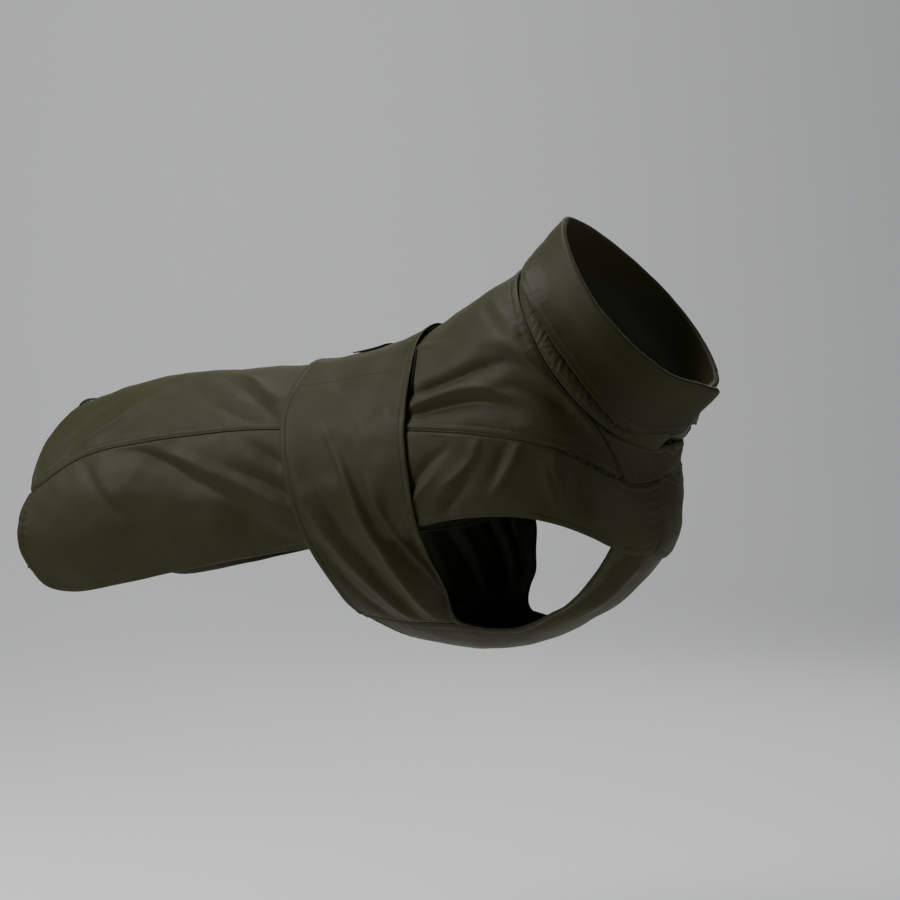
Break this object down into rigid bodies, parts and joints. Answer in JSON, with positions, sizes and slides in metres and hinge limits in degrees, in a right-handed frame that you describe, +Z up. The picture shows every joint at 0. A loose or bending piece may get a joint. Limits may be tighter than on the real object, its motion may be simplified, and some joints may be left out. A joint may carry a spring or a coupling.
{
  "type": "dog raincoat",
  "caption": "Fitted softshell raincoat for a large dog: back and side panels, turned-down collar, chest panel between the forelegs and a wide belly band closed on the back.",
  "frame": {"origin": "inside of the back panel on the withers, in the middle of the back, where the wearer carries the coat", "axes": "+X forward to the head, +Y to the wearer's left, +Z up"},
  "size_m": [0.6924, 0.2265, 0.3955],
  "materials": {
    "softshell": "matte bonded softshell cloth, dark olive green, slight sheen",
    "hook_tape": "black woven hook tape",
    "loop_tape": "black brushed loop tape",
    "patch": "bare black moulded patch",
    "binding": "narrow woven binding"
  },
  "bodies": {
    "root": {"back_panel": "softshell", "side_panel_right": "softshell", "side_panel_left": "softshell", "front_yoke_right": "softshell", "front_yoke_left": "softshell", "chest_panel": "softshell", "belly_band_right": "softshell", "belly_band_left": "softshell", "collar": "softshell", "neck_casing": "softshell", "collar_tape": "hook_tape", "back_tape": "loop_tape", "label_blank": "patch", "tail_loop": "binding"}
  },
  "joints": []
}
